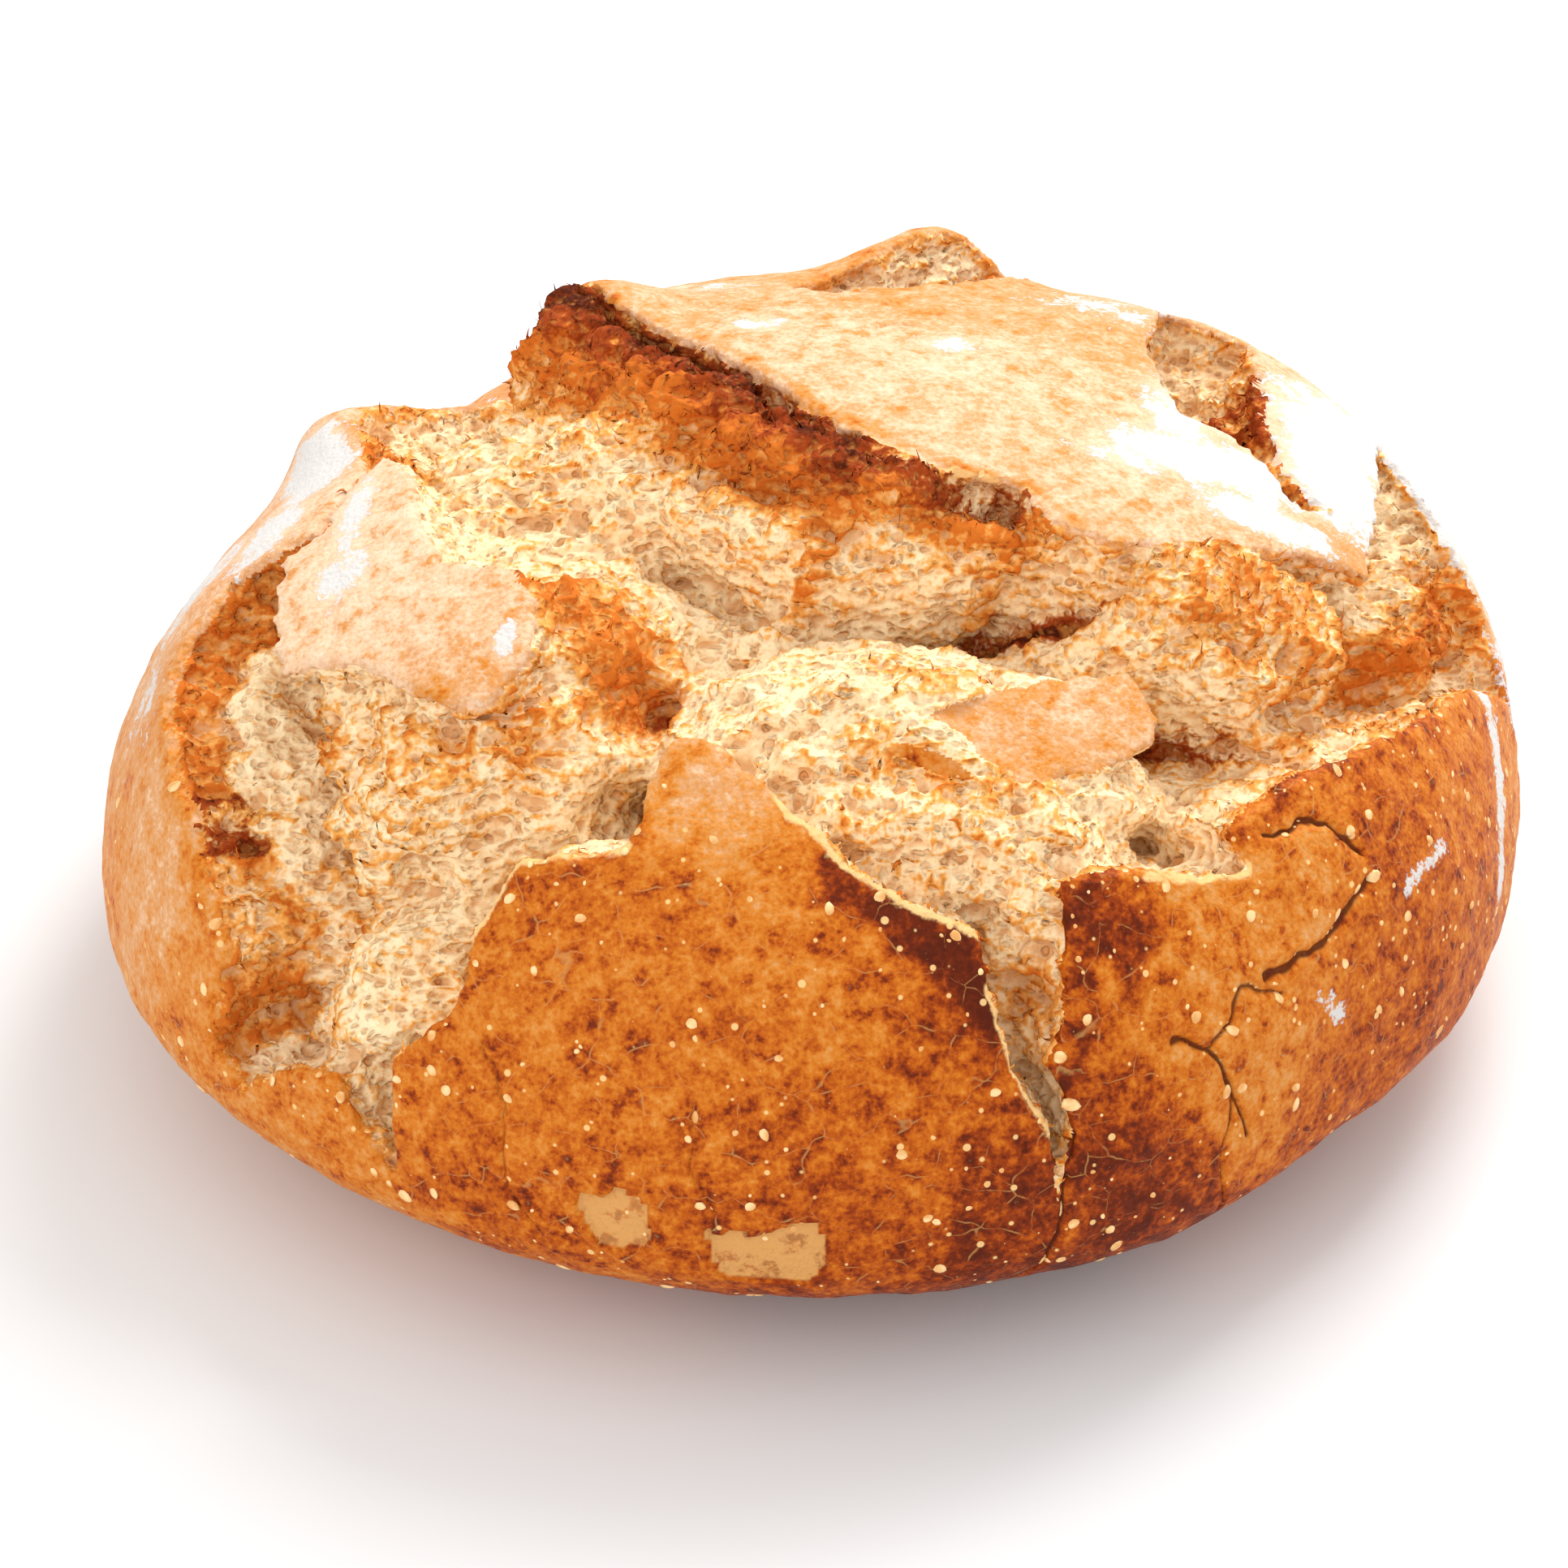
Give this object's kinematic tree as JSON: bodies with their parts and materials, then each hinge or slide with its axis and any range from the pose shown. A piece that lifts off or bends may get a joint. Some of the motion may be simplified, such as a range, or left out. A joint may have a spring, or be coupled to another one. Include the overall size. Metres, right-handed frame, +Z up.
{
  "type": "sourdough loaf",
  "caption": "Round rustic sourdough loaf, domed and free-standing, its thick browned crust burst open across the top into ragged plates over bare torn crumb.",
  "frame": {"origin": "centre of the flat base, at the height of the surface that the loaf stands on", "axes": "+Z up through the crown; +X to the loaf's right as the front crust plate faces the viewer, along its greatest width; +Y to its back"},
  "size_m": [0.238, 0.232, 0.108],
  "materials": {
    "crust": "browned baked crust, matt to satin, speckled with bran and floured in places",
    "crumb": "torn open crumb, cream with toasted tips, matt and porous"
  },
  "bodies": {
    "root": {"loaf": "crust"}
  },
  "joints": []
}
